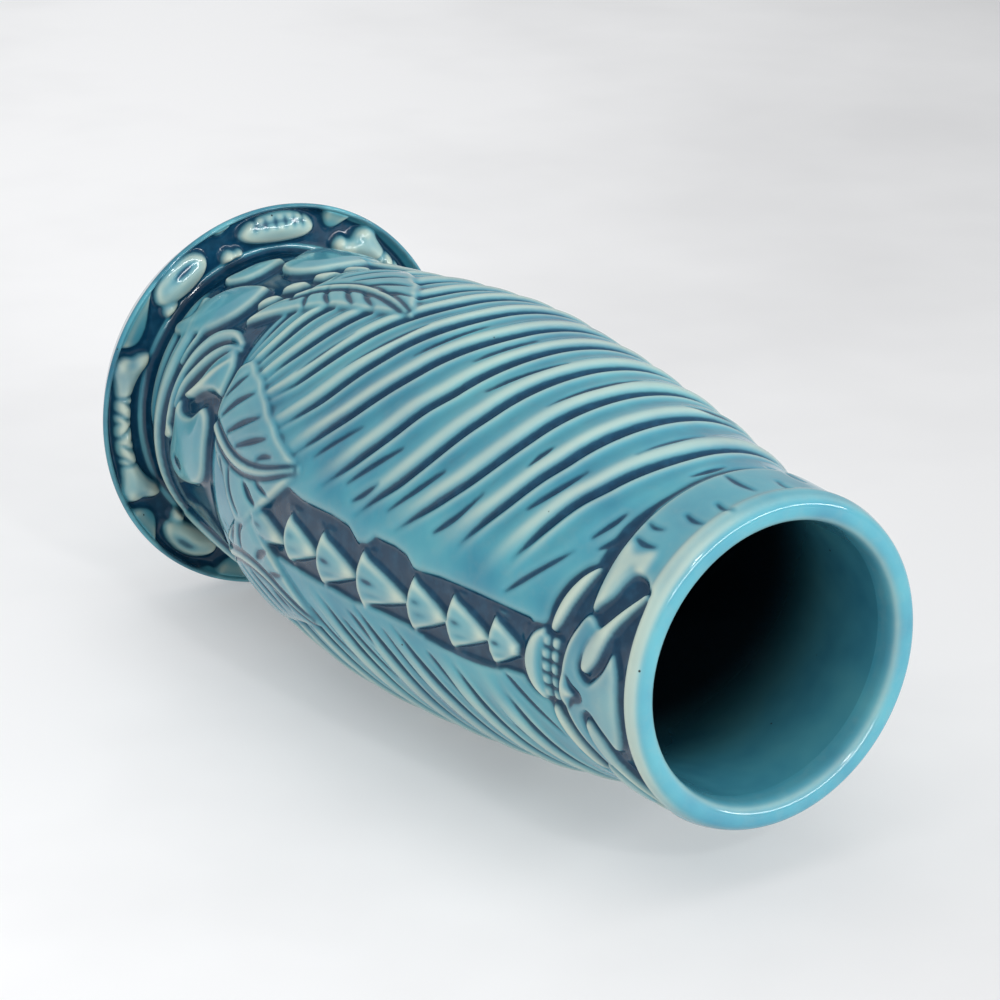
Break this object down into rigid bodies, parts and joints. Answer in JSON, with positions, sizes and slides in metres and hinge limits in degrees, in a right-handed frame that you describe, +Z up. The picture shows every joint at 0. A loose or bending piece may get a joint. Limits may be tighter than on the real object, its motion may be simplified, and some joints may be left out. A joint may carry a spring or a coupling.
{
  "type": "tiki mug",
  "caption": "Tall glazed ceramic tumbler with carved strands, a mask below the rolled lip, pressed leaves and a flared base ring holding shells and bones.",
  "frame": {"origin": "centre of the flat underside of the base", "axes": "+Z up the mug's axis to the mouth, -Y towards the mask and the column of teeth"},
  "size_m": [0.0758, 0.0759, 0.165],
  "materials": {
    "turquoise_glaze": "gloss",
    "pale_relief_glaze": "gloss",
    "deep_relief_glaze": "gloss"
  },
  "bodies": {
    "root": {"mug_wall": "turquoise_glaze", "base_disc": "turquoise_glaze", "base_ring": "deep_relief_glaze", "bead_tongues": "deep_relief_glaze", "rim_lip": "turquoise_glaze", "head_band": "turquoise_glaze", "mask_plate": "turquoise_glaze", "mask_eyes": "pale_relief_glaze", "mask_brows": "pale_relief_glaze", "mask_nose": "pale_relief_glaze", "mouth_teeth": "pale_relief_glaze", "lower_lip": "pale_relief_glaze", "cheek_crescents": "pale_relief_glaze", "column_of_teeth": "pale_relief_glaze", "front_leaves": "pale_relief_glaze", "side_leaves": "pale_relief_glaze", "back_leaves": "pale_relief_glaze", "petals": "turquoise_glaze", "bird_head": "turquoise_glaze", "bird_eye": "deep_relief_glaze", "curled_crest": "pale_relief_glaze", "crest_tip": "pale_relief_glaze", "cowrie_shells": "pale_relief_glaze", "bones": "pale_relief_glaze", "bone_lashings": "pale_relief_glaze"}
  },
  "joints": []
}
